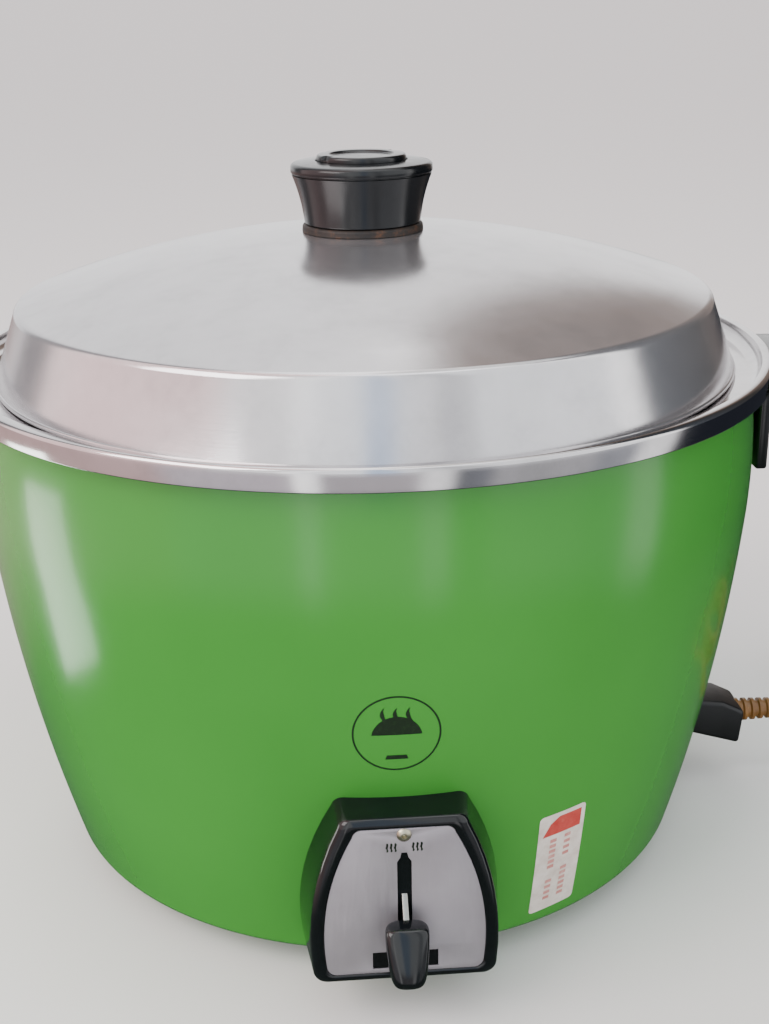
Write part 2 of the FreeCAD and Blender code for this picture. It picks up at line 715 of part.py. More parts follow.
CORD_ROUTE = [(185.0, 0.0, 29.0), (204.0, 0.5, 27.5), (222.0, -2.0, 18.0), (240.0, -4.5, 8.0),
              (258.0, -2.0, 3.6), (273.0, 8.0, 3.3), (282.0, 24.0, 3.3), (285.6, 43.0, 3.3),
              (285.2, 62.0, 3.3)]
TAIL_ROUTE = [(285.2, 62.0, 16.0), (285.4, 75.0, 14.0), (284.4, 88.0, 10.4), (284.0, 100.0, 9.0)]


def rounded_path(name, route):
    """Straight runs joined by tangent arcs, each as large as its two runs allow."""
    points = [Vector(*p) for p in route]
    edges, here = [], points[0]
    for before, corner, after in zip(points, points[1:], points[2:]):
        arrive, leave = (corner - before), (after - corner)
        turn = arrive.getAngle(leave)
        reach = 0.45 * min(arrive.Length, leave.Length)
        radius = reach / math.tan(turn / 2)
        print(f"{name}: turn {math.degrees(turn):.0f} degrees, radius {radius:.0f} mm")
        arrive.normalize()
        leave.normalize()
        start, end = corner - arrive * reach, corner + leave * reach
        inward = (leave - arrive).normalize()
        middle = corner + inward * (math.hypot(radius, reach) - radius)
        edges.append(Part.LineSegment(here, start).toShape())
        edges.append(Part.Arc(start, middle, end).toShape())
        here = end
    edges.append(Part.LineSegment(here, points[-1]).toShape())
    return Part.Wire(edges)


def tube(name, route, radius):
    """A cord or wire of one section along its rounded path."""
    path = rounded_path(name, route)
    heading = Vector(*route[1]) - Vector(*route[0])
    section = Part.Wire(Part.makeCircle(radius, Vector(*route[0]), heading))
    piece = doc.addObject("Part::Feature", name)
    piece.Shape = path.makePipeShell([section], True, True)
    expected = math.pi * radius * radius * path.Length
    print(f"{name}: length {path.Length:.1f} mm, volume {piece.Shape.Volume / expected:.3f} of the tube's")
    return piece


def cord():
    radius = SIZES["cord_radius"]
    keep(tube("cord_lead", CORD_ROUTE, radius))
    keep(tube("cord_tail", TAIL_ROUTE, radius))
    outer = rod("coil_outside", 38.8, 19.4, S["coil_x"], S["coil_y"], 0)
    keep(cut("cord_coil", outer, rod("coil_inside", 25.2, 24.0, S["coil_x"], S["coil_y"], -2.0)))
    body = lofted("plug_form", "XZ", [
        (-100.0, [(278.5, 3.5), (289.5, 3.5), (289.5, 14.5), (278.5, 14.5)]),
        (-112.0, [(272.0, 0.5), (296.0, 0.5), (296.0, 17.5), (272.0, 17.5)]),
        (-132.0, [(272.0, 0.5), (296.0, 0.5), (296.0, 17.5), (272.0, 17.5)])])
    keep(cut("plug_body", body, *blade_pair("blade_slot")))
    keep(grouped("plug_blades", blade_pair("blade")))


def blade_pair(name):
    return [block(f"{name}_{i}", (x - 0.75, x + 0.75), (126.0, 150.0), (5.9, 12.1))
            for i, x in enumerate((277.65, 290.35))]


def wires():
    runs = {
        "mains_wires": [
            [(106.0, -5.5, 25.6), (92.0, -16.0, 22.0), (78.0, -40.0, 20.0), (52.0, -66.0, 20.0),
             (22.0, -82.0, 24.0), (8.0, -94.0, 32.4)],
            [(106.0, 5.5, 25.6), (92.0, 10.0, 21.0), (76.0, 10.0, 19.0), (62.0, 4.0, 21.0),
             (56.0, 0.0, 28.0)]],
        "heater_wires": [
            [(-8.0, -94.0, 32.4), (-16.0, -82.0, 25.0), (-34.0, -58.0, 21.0), (-50.0, -30.0, 21.0),
             (-56.0, -8.0, 23.0), (-56.0, 0.0, 28.0)]],
    }
    for name, routes in runs.items():
        keep(grouped(name, [tube(f"{name}_{i}", route, 1.2) for i, route in enumerate(routes)]))


# ---------------------------------------------------------------- thin pieces on the drum's wall

def on_drum(name, form, outline_tool, proud):
    """A thin piece that follows the drum's wall: a prism cut between two drum-shaped faces."""
    skin = turned(name + "_skin", [
        (S["drum_top_radius"] + proud, S["ledge_height"] - WALL),
        (S["drum_waist_radius"] + proud, S["drum_waist_height"], -(DRUM_UPPER_ARC + proud)),
        (S["drum_foot_radius"] + proud, S["drum_foot_height"], -(DRUM_LOWER_ARC + proud)),
        (90.0, S["drum_foot_height"]), (90.0, S["ledge_height"] - WALL)])
    piece = doc.addObject("Part::Common", name + "_blank")
    piece.Base, piece.Tool = skin, outline_tool
    return keep(cut(name, piece, form))


LABEL_AZIMUTH = 25.3
LABEL_HEIGHT = 39.8
LABEL_TILT = -4.0


def markings(form):
    emblem = rod("emblem_tool", 13.95, 60.0, -1.2, -100.0, 105.7, "-Y")
    on_drum("emblem_print", form, emblem, 0.12)
    label = block("label_tool", (-9.5, 9.5), (-70.0, 0.0), (-23.0, 23.0))
    tilt = Rotation(Vector(0, 1, 0), LABEL_TILT)
    label.Placement = Placement(Vector(0, -100.0, LABEL_HEIGHT), Rotation()).multiply(
        Placement(tilt.multVec(label.Placement.Base), tilt))
    on_drum("blank_label", form, swung(label, LABEL_AZIMUTH), 0.15)


# ---------------------------------------------------------------- assembly and files

def main():
    form = drum_form()
    screw_places = list(around(4, 112.0, 45.0))
    foot_places = list(around(4, 98.0, 45.0))
    openings = [block("panel_opening", (-23.0, 23.0), (-150.0, -110.0), (24.0, 66.0)),
                block("inlet_opening", (100.0, 150.0), (-INLET_HALF, INLET_HALF), (INLET_BOTTOM, INLET_TOP))]
    openings += screw_bores("shell_handle_hole", (1, -1))
    openings += [rod(f"shell_screw_hole_{i}", 1.7, 8.0, x, y, 7.0) for i, (x, y) in enumerate(screw_places)]
    outer_shell(openings)
    rim_ring()
    cooking_well()
    base_plate(screw_places, foot_places)
    base_screws(screw_places)
    feet(foot_places)
    lid()
    inner_pot()
    heating()
    control_panel(form)
    lever()
    switch()
    handles(form)
    inlet()
    connector()
    cord()
    wires()
    markings(form)
    doc.recompute()
    for obj in doc.Objects:
        if "Invalid" in obj.State or "Error" in obj.State:
            raise RuntimeError(f"{obj.Name} failed: {obj.State}")
    os.makedirs("parts", exist_ok=True)
    for piece in NODES:
        shape = piece.Shape
        if shape.isNull() or not shape.isValid() or not shape.Solids:
            raise RuntimeError(f"{piece.Label} has no valid solid")
        print(f"{piece.Label}: {len(shape.Solids)} solid, {shape.Volume:.0f} mm3")
        shape.exportStep(f"parts/{piece.Label}.step")


main()
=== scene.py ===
import json
import math

import bmesh
import bpy
from mathutils import Euler, Matrix, Vector


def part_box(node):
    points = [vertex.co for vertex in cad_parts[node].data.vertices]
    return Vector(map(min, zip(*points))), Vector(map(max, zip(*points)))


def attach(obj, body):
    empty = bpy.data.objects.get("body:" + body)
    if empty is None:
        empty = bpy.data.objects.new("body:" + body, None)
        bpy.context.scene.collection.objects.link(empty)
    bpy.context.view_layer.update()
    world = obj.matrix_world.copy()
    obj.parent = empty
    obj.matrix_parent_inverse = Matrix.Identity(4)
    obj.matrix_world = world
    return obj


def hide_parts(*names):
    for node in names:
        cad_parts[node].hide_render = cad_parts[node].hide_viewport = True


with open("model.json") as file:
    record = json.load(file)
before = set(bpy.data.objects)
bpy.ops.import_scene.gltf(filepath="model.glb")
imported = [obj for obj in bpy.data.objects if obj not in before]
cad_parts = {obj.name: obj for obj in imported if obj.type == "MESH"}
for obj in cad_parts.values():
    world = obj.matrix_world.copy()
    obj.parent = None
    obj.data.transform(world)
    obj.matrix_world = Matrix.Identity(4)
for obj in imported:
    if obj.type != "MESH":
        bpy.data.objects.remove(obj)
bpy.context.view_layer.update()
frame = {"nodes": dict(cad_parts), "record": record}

MM = 0.001

# ------------------------------------------------------------------ camera, floor and light


def add_camera():
    """A 49 mm lens half a metre from the drum, a little to the left of the panel."""
    data = bpy.data.cameras.new("camera")
    data.lens = 49.2
    data.sensor_width = 36.0
    camera = bpy.data.objects.new("camera", data)
    bpy.context.collection.objects.link(camera)
    camera.location = (-0.0306, -0.5195, 0.3206)
    aim = Euler((math.radians(69.5), 0.0, math.radians(-4.05))).to_matrix()
    camera.rotation_euler = (aim @ Matrix.Rotation(math.radians(-1.0), 3, "Z")).to_euler()
    bpy.context.scene.camera = camera


def add_light(name, place, aim, size, power, colour=(1.0, 1.0, 1.0)):
    data = bpy.data.lights.new(name, "AREA")
    data.shape = "RECTANGLE"
    data.size, data.size_y = size
    data.energy = power
    data.color = colour
    light = bpy.data.objects.new(name, data)
    bpy.context.collection.objects.link(light)
    light.location = place
    light.rotation_euler = (Vector(aim) - Vector(place)).to_track_quat("-Z", "Y").to_euler()
    light.visible_camera = False


# ------------------------------------------------------------------ nodes and materials


def linear(hex_colour):
    """An sRGB hex colour as linear red, green, blue and full alpha."""
    values = [int(hex_colour[i:i + 2], 16) / 255 for i in (1, 3, 5)]
    return [v / 12.92 if v <= 0.04045 else ((v + 0.055) / 1.055) ** 2.4 for v in values] + [1.0]


def shade(hex_colour, factor):
    """The same hex colour made lighter or darker."""
    values = [min(255, round(int(hex_colour[i:i + 2], 16) * factor)) for i in (1, 3, 5)]
    return "#" + "".join(f"{value:02X}" for value in values)


def add(tree, kind, links=None, **settings):
    """One node: links are its sockets' sources or values, and settings are its properties."""
    made = tree.nodes.new("ShaderNode" + kind)
    for name, value in settings.items():
        setattr(made, name, value)
    for name, value in (links or {}).items():
        socket = made.inputs[name]
        if hasattr(value, "links"):
            tree.links.new(value, socket)
        else:
            socket.default_value = value
    return made


def material(name, base, rough, metallic=0.0, **sockets):
    """A Principled material; returns it with its tree and shader for patterns to be added."""
    made = bpy.data.materials.new(name)
    made.use_nodes = True
    tree = made.node_tree
    shader = tree.nodes["Principled BSDF"]
    shader.inputs["Base Color"].default_value = linear(base)
    shader.inputs["Roughness"].default_value = rough
    shader.inputs["Metallic"].default_value = metallic
    for socket, value in sockets.items():
        shader.inputs[socket.replace("_", " ")].default_value = value
    return made, tree, shader


def coordinates(tree, scale=(1.0, 1.0, 1.0)):
    """Object coordinates in metres, stretched by a scale."""
    source = add(tree, "TexCoord").outputs["Object"]
    return add(tree, "Mapping", {"Vector": source, "Scale": scale}).outputs["Vector"]


def noise(tree, vector, scale, detail=3.0, roughness=0.5):
    return add(tree, "TexNoise", {"Vector": vector, "Scale": scale, "Detail": detail,
                                  "Roughness": roughness}).outputs["Fac"]


def ramp(tree, factor, *stops):
    """A colour ramp through (position, hex colour) stops."""
    made = add(tree, "ValToRGB", {"Fac": factor})
    band = made.color_ramp
    while len(band.elements) < len(stops):
        band.elements.new(0.5)
    for element, (position, colour) in zip(band.elements, stops):
        element.position = position
        element.color = linear(colour)
    return made.outputs["Color"]


def remap(tree, value, low, high, to_low, to_high):
    return add(tree, "MapRange", {"Value": value, "From Min": low, "From Max": high, "To Min": to_low,
                                  "To Max": to_high}).outputs["Result"]


def bump(tree, shader, height, strength, distance):
    """Small relief of a surface: distance is how deep it is, in metres."""
    made = add(tree, "Bump", {"Height": height, "Strength": strength, "Distance": distance})
    tree.links.new(made.outputs["Normal"], shader.inputs["Normal"])


def mixed(tree, factor, first, second):
    made = add(tree, "MixRGB", {"Fac": factor, "Color1": first, "Color2": second})
    return made.outputs["Color"]


def feed(tree, shader, socket, value):
    tree.links.new(value, shader.inputs[socket])


def turned_lines(tree, spacing):
    """Height of fine lathe lines round the Z axis, one line about every spacing millimetres."""
    source = add(tree, "TexCoord").outputs["Object"]
    split = add(tree, "SeparateXYZ", {"Vector": source})
    across = add(tree, "Math", {0: split.outputs["X"], 1: split.outputs["X"]}, operation="MULTIPLY")
    along = add(tree, "Math", {0: split.outputs["Y"], 1: split.outputs["Y"]}, operation="MULTIPLY")
    total = add(tree, "Math", {0: across.outputs[0], 1: along.outputs[0]}, operation="ADD")
    radius = add(tree, "Math", {0: total.outputs[0], 1: 0.5}, operation="POWER")
    lines = add(tree, "CombineXYZ", {"X": radius.outputs[0], "Y": split.outputs["Z"]})
    return noise(tree, lines.outputs["Vector"], 1000.0 / spacing, 2.0, 0.7)


def spun_aluminium(name, base, rough, spread, line_spacing, depth, metallic=1.0):
    """Spun aluminium sheet: round lathe lines, cloudy handling haze and thin random scratches."""
    made, tree, shader = material(name, base, rough, metallic, Anisotropic=0.2)
    tangent = add(tree, "Tangent", direction_type="RADIAL", axis="Z")
    feed(tree, shader, "Tangent", tangent.outputs["Tangent"])
    haze = noise(tree, coordinates(tree), 14.0, 4.0, 0.6)
    feed(tree, shader, "Roughness", remap(tree, haze, 0.3, 0.7, rough - spread, rough + spread))
    tone = noise(tree, coordinates(tree), 45.0, 5.0, 0.65)
    feed(tree, shader, "Base Color", ramp(tree, tone, (0.25, shade(base, 0.93)), (0.5, base),
                                          (0.8, shade(base, 1.04))))
    lines = turned_lines(tree, line_spacing)
    scratches = noise(tree, coordinates(tree, (1.0, 9.0, 9.0)), 260.0, 2.0, 0.8)
    total = add(tree, "Math", {0: lines, 1: scratches}, operation="ADD")
    bump(tree, shader, total.outputs[0], depth, 0.0001)
    return made


def green_enamel():
    """Sprayed and stoved enamel on steel: deep colour, a clear gloss, a very faint orange peel."""
    made, tree, shader = material("stoved_enamel_green", "#3B8932", 0.2, 0.0, Specular_IOR_Level=0.42,
                                  Coat_Weight=0.35, Coat_Roughness=0.12)
    tone = noise(tree, coordinates(tree), 6.0, 3.0, 0.5)
    feed(tree, shader, "Base Color", ramp(tree, tone, (0.3, "#36832D"), (0.7, "#408F36")))
    specks = noise(tree, coordinates(tree), 900.0, 2.0, 0.6)
    feed(tree, shader, "Roughness", remap(tree, specks, 0.35, 0.75, 0.17, 0.26))
    peel = noise(tree, coordinates(tree), 320.0, 2.0, 0.5)
    bump(tree, shader, peel, 0.06, 0.0004)
    return made


def moulded_black(name, base, rough, grain, depth):
    """Pressed phenolic or rubber: near black, with a fine moulded grain and dull handled patches."""
    made, tree, shader = material(name, base, rough)
    patches = noise(tree, coordinates(tree), 60.0, 4.0, 0.6)
    feed(tree, shader, "Roughness", remap(tree, patches, 0.3, 0.75, rough * 0.75, rough * 1.35))
    dust = noise(tree, coordinates(tree), 220.0, 3.0, 0.6)
    feed(tree, shader, "Base Color", ramp(tree, dust, (0.45, base), (0.9, shade(base, 1.5))))
    bump(tree, shader, noise(tree, coordinates(tree), grain, 2.0, 0.5), depth, 0.0002)
    return made


def plain_metal(name, base, rough, grain=500.0, depth=0.08):
    """Pressed or plated metal with a fine uneven surface."""
    made, tree, shader = material(name, base, rough, 1.0)
    tone = noise(tree, coordinates(tree), 70.0, 4.0, 0.6)
    feed(tree, shader, "Roughness", remap(tree, tone, 0.3, 0.7, rough * 0.8, rough * 1.25))
    feed(tree, shader, "Base Color", ramp(tree, tone, (0.3, shade(base, 0.88)), (0.75, shade(base, 1.05))))
    bump(tree, shader, noise(tree, coordinates(tree), grain, 2.0, 0.6), depth, 0.0002)
    return made


def satin_plate():
    """Anodised aluminium fascia: matt silver with an even fine grain that runs upright."""
    made, tree, shader = material("satin_anodised_plate", "#AAA6AB", 0.42, 0.6)
    grain = noise(tree, coordinates(tree, (1.0, 1.0, 0.06)), 1800.0, 2.0, 0.6)
    feed(tree, shader, "Roughness", remap(tree, grain, 0.3, 0.7, 0.36, 0.5))
    tone = noise(tree, coordinates(tree), 60.0, 3.0, 0.5)
    feed(tree, shader, "Base Color", ramp(tree, tone, (0.3, "#A6A1A7"), (0.7, "#B1ADB2")))
    bump(tree, shader, grain, 0.12, 0.0001)
    return made


def rusty_collar():
    """Lacquered collar with rust and cooked-on starch at the knob's foot."""
    made, tree, shader = material("rusted_collar", "#5A3A22", 0.6)
    spots = noise(tree, coordinates(tree), 300.0, 5.0, 0.7)
    feed(tree, shader, "Base Color", ramp(tree, spots, (0.35, "#0F0D0C"), (0.55, "#241A13"),
                                          (0.72, "#57351D"), (0.85, "#8A6A45")))
    bump(tree, shader, spots, 0.3, 0.0004)
    return made


def cord_vinyl():
    """Translucent golden-brown vinyl flex, glossy, with slight handling marks."""
    made, tree, shader = material("brown_vinyl_flex", "#7A5426", 0.34, 0.0, Subsurface_Weight=0.15)
    shader.inputs["Subsurface Radius"].default_value = (0.004, 0.002, 0.001)
    tone = noise(tree, coordinates(tree), 90.0, 3.0, 0.6)
    feed(tree, shader, "Base Color", ramp(tree, tone, (0.3, "#6A4620"), (0.7, "#8C6330")))
    bump(tree, shader, noise(tree, coordinates(tree), 700.0, 2.0, 0.5), 0.1, 0.0002)
    return made


def printed_ink():
    """Dark green-black screen-print ink on the enamel."""
    made, tree, shader = material("screen_print_ink", "#10240F", 0.45)
    worn = noise(tree, coordinates(tree), 900.0, 4.0, 0.7)
    feed(tree, shader, "Base Color", ramp(tree, worn, (0.5, "#10240F"), (0.75, "#1D3A18")))
    return made


def label_paper():
    """Aged vinyl label: off-white with faint yellowing and rubbed patches."""
    made, tree, shader = material("aged_label_vinyl", "#D8CFC6", 0.4)
    rub = noise(tree, coordinates(tree), 160.0, 5.0, 0.7)
    feed(tree, shader, "Base Color", ramp(tree, rub, (0.3, "#C9BDB2"), (0.55, "#DDD5CC"), (0.8, "#E9E4DD")))
    return made


def label_red(name, dark, middle, pale):
    """Faded red ink on the label."""
    made, tree, shader = material(name, middle, 0.42)
    rub = noise(tree, coordinates(tree), 240.0, 5.0, 0.7)
    feed(tree, shader, "Base Color", ramp(tree, rub, (0.35, dark), (0.6, middle), (0.85, pale)))
    return made


MATERIALS = {
    "green_enamel": green_enamel(),
    "lid_aluminium": spun_aluminium("hazy_spun_lid", "#D3D1D3", 0.17, 0.05, 0.55, 0.05, 0.88),
    "spun_aluminium": spun_aluminium("bright_spun_rim", "#D2CFD0", 0.11, 0.03, 0.7, 0.04),
    "pot_steel": spun_aluminium("brushed_pot_steel", "#B9B7B4", 0.3, 0.05, 0.6, 0.12),
    "bakelite": moulded_black("knob_phenolic", "#0C0E10", 0.2, 260.0, 0.06),
    "gloss_bakelite": moulded_black("gloss_panel_phenolic", "#0A0D0F", 0.1, 90.0, 0.03),
    "connector_rubber": moulded_black("connector_pvc", "#090A0B", 0.42, 700.0, 0.2),
    "switch_phenolic": moulded_black("brown_phenolic", "#2A1D18", 0.5, 500.0, 0.2),
    "foot_rubber": moulded_black("foot_rubber", "#141414", 0.7, 800.0, 0.3),
    "dark_window": moulded_black("smoked_window", "#0B0C0E", 0.16, 400.0, 0.02),
    "satin_plate": satin_plate(),
    "collar_rust": rusty_collar(),
    "zinc_steel": plain_metal("zinc_plated_steel", "#9EA1A2", 0.36),
    "screw_steel": plain_metal("nickelled_screws", "#A5A39E", 0.3),
    "cast_aluminium": plain_metal("cast_aluminium", "#8E8F90", 0.55, 900.0, 0.35),
    "element_steel": plain_metal("heater_sheath", "#55504A", 0.5),
    "brass_screw": plain_metal("dull_cream_screw", "#C9C4AB", 0.34),
    "plated_lever": plain_metal("plated_lever_strip", "#B4B4AE", 0.28),
    "spring_steel": plain_metal("spring_steel", "#8C8C8C", 0.3),
    "contact_brass": plain_metal("contact_brass", "#B99A58", 0.28),
    "fuse_white": moulded_black("fuse_ceramic", "#C9C6BB", 0.5, 600.0, 0.1),
    "mica_band": moulded_black("mica_wrap", "#8A7650", 0.5, 300.0, 0.2),
    "lamp_glass": moulded_black("neon_glass", "#B4603A", 0.12, 200.0, 0.02),
    "wire_sleeve": moulded_black("glass_sleeve", "#BDBBAF", 0.65, 900.0, 0.3),
    "cord_brown": cord_vinyl(),
    "emblem_ink": printed_ink(),
    "label_paper": label_paper(),
}
LABEL_RED = label_red("faded_red_ink", "#B5332E", "#C04A42", "#CF8A80")
FADED_BARS = label_red("rubbed_red_ink", "#C0706A", "#CC948C", "#D8BDB4")

# ------------------------------------------------------------------ making pieces


def finish_piece(mesh, name, slot, body, replaced=(), sharp_degrees=32.0):
    """A bmesh made into a smooth object that rides on a body and stands for its CAD nodes."""
    bmesh.ops.remove_doubles(mesh, verts=mesh.verts, dist=0.000004)
    bmesh.ops.recalc_face_normals(mesh, faces=mesh.faces)
    data = bpy.data.meshes.new(name)
    mesh.to_mesh(data)
    mesh.free()
    data.shade_smooth()
    data.set_sharp_from_angle(angle=math.radians(sharp_degrees))
    piece = bpy.data.objects.new(name, data)
    bpy.context.collection.objects.link(piece)
    data.materials.append(MATERIALS[slot])
    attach(piece, body)
    if replaced:
        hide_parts(*replaced)
    return piece


def arc(start, end, radius, steps):
    """Points after start up to end on an arc; a positive radius bulges right of the way travelled."""
    start, end = Vector(start), Vector(end)
    chord = end - start
    side = Vector((chord.y, -chord.x)).normalized() * math.copysign(1.0, radius)
    reach = math.sqrt(max(radius * radius - chord.length_squared / 4, 0.0))
    centre = (start + end) / 2 - side * reach
    first = (start - centre).to_3d()
    turn = first.xy.angle_signed((end - centre), 0.0)
    for step in range(1, steps + 1):
        swung = Matrix.Rotation(-turn * step / steps, 2) @ first.xy
        yield tuple(centre + swung)


def outline_points(corners, steps=10):
    """Points of an outline; a corner with a third value is reached by an arc of that radius."""
    points = []
    for index, corner in enumerate(corners):
        if len(corner) > 2:
            points += arc(corners[index - 1][:2], corner[:2], corner[2], steps)
        else:
            points.append(corner[:2])
    return points


def spun_mesh(corners, steps, closed=False, arc_steps=6):
    """An outline of (radius, height) corners in millimetres spun round Z."""
    mesh = bmesh.new()
    verts = [mesh.verts.new((r * MM, 0.0, z * MM)) for r, z in outline_points(corners, arc_steps)]
    edges = [mesh.edges.new(pair) for pair in zip(verts, verts[1:])]
    if closed:
        edges.append(mesh.edges.new((verts[-1], verts[0])))
    bmesh.ops.spin(mesh, geom=verts + edges, cent=(0, 0, 0), axis=(0, 0, 1), dvec=(0, 0, 0),
                   angle=2 * math.pi, steps=steps, use_merge=True, use_duplicate=False)
    return mesh


def spun(name, corners, slot, body, replaced=(), steps=192, closed=True, arc_steps=10):
    """A piece spun round Z from its outline."""
    return finish_piece(spun_mesh(corners, steps, closed, arc_steps), name, slot, body, replaced)


def prism(mesh, outline, low, high, along, round_edges, segments=3):
    """A closed outline thickened along an axis between two places, with all its edges rounded."""
    place = {"X": lambda u, v, d: (d, u, v), "Y": lambda u, v, d: (u, d, v), "Z": lambda u, v, d: (u, v, d)}
    loops = [[mesh.verts.new(Vector(place[along](u, v, d)) * MM) for u, v in outline] for d in (low, high)]
    faces = [mesh.faces.new(loops[0]), mesh.faces.new(loops[1])]
    count = len(outline)
    for i in range(count):
        j = (i + 1) % count
        faces.append(mesh.faces.new((loops[0][i], loops[0][j], loops[1][j], loops[1][i])))
    bmesh.ops.recalc_face_normals(mesh, faces=faces)
    edges = [e for e in {e for f in faces for e in f.edges} if e.calc_face_angle(0) > math.radians(20)]
    bmesh.ops.bevel(mesh, geom=edges, offset=round_edges * MM, affect="EDGES", segments=segments, profile=0.5,
                    material=-1, clamp_overlap=True)


def softened(node, width, slot, body, segments=3):
    """A CAD node's shape with its sharp edges rounded."""
    mesh = bmesh.new()
    mesh.from_mesh(frame["nodes"][node].data)
    bmesh.ops.remove_doubles(mesh, verts=mesh.verts, dist=0.00001)
    bmesh.ops.dissolve_limit(mesh, angle_limit=math.radians(0.6), verts=mesh.verts, edges=mesh.edges)
    edges = [e for e in mesh.edges if len(e.link_faces) == 2 and e.calc_face_angle(0) > math.radians(35.0)]
    bmesh.ops.bevel(mesh, geom=edges, offset=width * MM, affect="EDGES", segments=segments, profile=0.5,
                    material=-1, clamp_overlap=True)
    return finish_piece(mesh, node + "_rounded", slot, body, (node,), 40.0)


def mm_box(node):
    """A CAD node's corners in millimetres."""
    low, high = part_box(node)
    return low / MM, high / MM


# ------------------------------------------------------------------ drum and well

RING_LOW, RING_HIGH = mm_box("rim_ring")
WELL_BOTTOM = mm_box("cooking_well")[0].z
RIM, TOP = RING_HIGH.x, RING_HIGH.z
LEDGE = TOP - 5.8
WALL = 1.2
BASE = mm_box("outer_shell")[0].z
WAIST, FOOT = (144.4, 138.0), (123.2, 14.0)
UPPER_ARC, LOWER_ARC = 218.0, 720.0


def drum_radius(height):
    """The drum's outside radius at a height, from its two arcs."""
    if height > WAIST[1]:
        start, end, size = (142.8, LEDGE - WALL), WAIST, UPPER_ARC
    else:
        start, end, size = WAIST, FOOT, LOWER_ARC
    start, end = Vector(start), Vector(end)
    chord = end - start
    inward = Vector((chord.y, -chord.x)).normalized()
    centre = (start + end) / 2 + inward * math.sqrt(size * size - chord.length_squared / 4)
    return centre.x + math.sqrt(max(size * size - (height - centre.y) ** 2, 0.0))


def open_window(mesh, low, high):
    """Cut a box-shaped opening through the drum's wall and close the cut edges."""
    box = (Vector(low) * MM, Vector(high) * MM)

    def inside(face, margin):
        centre = face.calc_center_median()
        return all(box[0][i] - margin < centre[i] < box[1][i] + margin for i in range(3))

    for axis in range(3):
        for corner in box:
            near = [f for f in mesh.faces if inside(f, 0.012)]
            edges = {e for f in near for e in f.edges}
            verts = {v for f in near for v in f.verts}
            geometry = near + list(edges) + list(verts)
            normal = Vector(tuple(float(i == axis) for i in range(3)))
            bmesh.ops.bisect_plane(mesh, geom=geometry, dist=0.000001, plane_co=corner, plane_no=normal)
    bmesh.ops.delete(mesh, geom=[f for f in mesh.faces if inside(f, 0.0)], context="FACES")
    bmesh.ops.bridge_loops(mesh, edges=[e for e in mesh.edges if e.is_boundary])


def drum():
    """Flared shell, open under the floor, with a window behind the panel and one for the inlet."""
    top = (142.8, LEDGE - WALL)
    mesh = spun_mesh([
        (top[0] - WALL, top[1]), top, (*WAIST, -UPPER_ARC), (*FOOT, -LOWER_ARC), (118.5, BASE, -5.5),
        (108.0, BASE), (108.0, BASE + WALL), (118.2, BASE + WALL), (FOOT[0] - WALL, FOOT[1], 4.4),
        (WAIST[0] - WALL, WAIST[1], LOWER_ARC - WALL), (top[0] - WALL, top[1], UPPER_ARC - WALL),
    ], 256, True, 24)
    bmesh.ops.remove_doubles(mesh, verts=mesh.verts, dist=0.000004)
    switch_half, switch_low, switch_high = 23.0, 24.0, 66.0
    open_window(mesh, (-switch_half, -160.0, switch_low), (switch_half, -90.0, switch_high))
    inlet_half, inlet_low, inlet_high = 13.1, 18.5, 33.7
    open_window(mesh, (90.0, -inlet_half, inlet_low), (160.0, inlet_half, inlet_high))
    finish_piece(mesh, "drum_enamelled", "green_enamel", "cooker", ("outer_shell",))


def rim():
    """Outer band, flat top, inner wall and the ledge under the lid."""
    lip = RIM - 4.0
    spun("rim_spun", [
        (RIM - WALL, RING_LOW.z), (RIM - 0.3, RING_LOW.z), (RIM, RING_LOW.z + 0.4, 0.4),
        (RIM - 0.1, TOP - 1.5), (RIM - 1.5, TOP - 0.06, 1.6), (lip + 0.3, TOP), (lip, TOP - 0.3, 0.3),
        (lip, LEDGE + 4.2), (lip - 4.0, LEDGE, -4.2), (131.2, LEDGE), (131.0, LEDGE - 0.2),
        (131.0, LEDGE - WALL), (RIM - WALL, LEDGE - WALL),
    ], "spun_aluminium", "cooker", ("rim_ring",), steps=256, arc_steps=6)


def well():
    """Deep bowl with a rounded foot, lapped over the drum's top edge."""
    floor, top, side, foot = WELL_BOTTOM + WALL, LEDGE - WALL, 126.5, 123.0
    spun("well_spun", [
        (0.0, floor - WALL), (foot - 8.0, floor - WALL), (foot + WALL, floor + 8.0, 9.3),
        (side + WALL, top - 3.2), (side + 3.2, top - WALL, -2.1), (138.0, top - WALL), (138.0, top),
        (side + 3.0, top), (side, top - 3.0, 3.1), (foot, floor + 8.0), (foot - 8.0, floor, -8.1),
        (0.0, floor),
    ], "spun_aluminium", "cooker", ("cooking_well",), steps=192, arc_steps=6, closed=False)


# ------------------------------------------------------------------ lid and knob

LID_LOW, LID_HIGH = mm_box("lid_shell")
LID, CROWN = LID_HIGH.x, LID_HIGH.z


def lid():
    """Domed lid with a steep side and a rolled edge, and the collar under its knob."""
    shoulder, high, bottom = 128.2, 213.8, LID_LOW.z
    spun("lid_spun", [
        (3.0, CROWN), (shoulder - 2.7, high + 2.9, -377.0), (shoulder, high, -3.4),
        (LID - 0.75, bottom + 1.9), (LID, bottom + 1.0, -1.2), (LID - 0.8, bottom, -0.95),
        (LID - 1.8, bottom + 1.0, -1.0),
        (shoulder - 1.3, high - 0.4), (shoulder - 3.2, high + 1.7, 2.2), (3.0, CROWN - WALL, 375.8),
    ], "lid_aluminium", "lid", ("lid_shell",), steps=256, arc_steps=12)
    seat = CROWN + 2.2
    spun("collar_ring", [
        (3.0, CROWN + 0.04), (22.0, CROWN - 0.58, -377.0), (22.3, CROWN - 0.2, 0.3), (22.2, CROWN + 1.0),
        (21.4, seat - 0.05, 1.3), (3.0, seat),
    ], "collar_rust", "lid", ("knob_collar",), steps=96)


